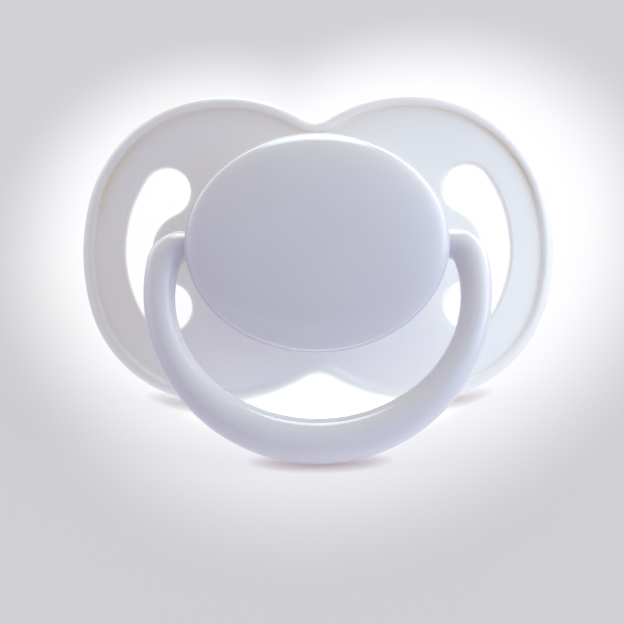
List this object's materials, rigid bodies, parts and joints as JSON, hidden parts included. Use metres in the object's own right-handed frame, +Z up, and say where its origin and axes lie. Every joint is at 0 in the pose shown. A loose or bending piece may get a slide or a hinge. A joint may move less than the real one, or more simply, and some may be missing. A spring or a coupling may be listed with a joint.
{
  "type": "pacifier",
  "caption": "Baby pacifier with a bowed butterfly shield, a domed oval knob, a hinged ring handle and a soft hollow teat, resting tilted back on a table.",
  "frame": {"origin": "on the table, under the middle of the whole object's box", "axes": "+X along the shield's width, -Y towards the side the domed cap faces, +Z up; the object leans back by 25 degrees"},
  "size_m": [0.0456, 0.0444, 0.0279],
  "materials": {
    "shield_plastic": "satin, slightly translucent polypropylene",
    "gloss_white": "glossy, a faint lavender white",
    "silicone": "clear to milky silicone, smooth"
  },
  "bodies": {
    "pacifier": {"shield": "shield_plastic", "teat": "silicone", "teat_plug": "gloss_white", "knob_base": "gloss_white", "knob_cap": "gloss_white"},
    "ring": {"ring_handle": "gloss_white"}
  },
  "joints": [
    {"name": "ring_pivot", "type": "hinge", "parent": "pacifier", "child": "ring", "pos_m": [0, -0.00949, 0.01736], "axis": [-1, 0, 0], "range_deg": [-27, 186]}
  ]
}
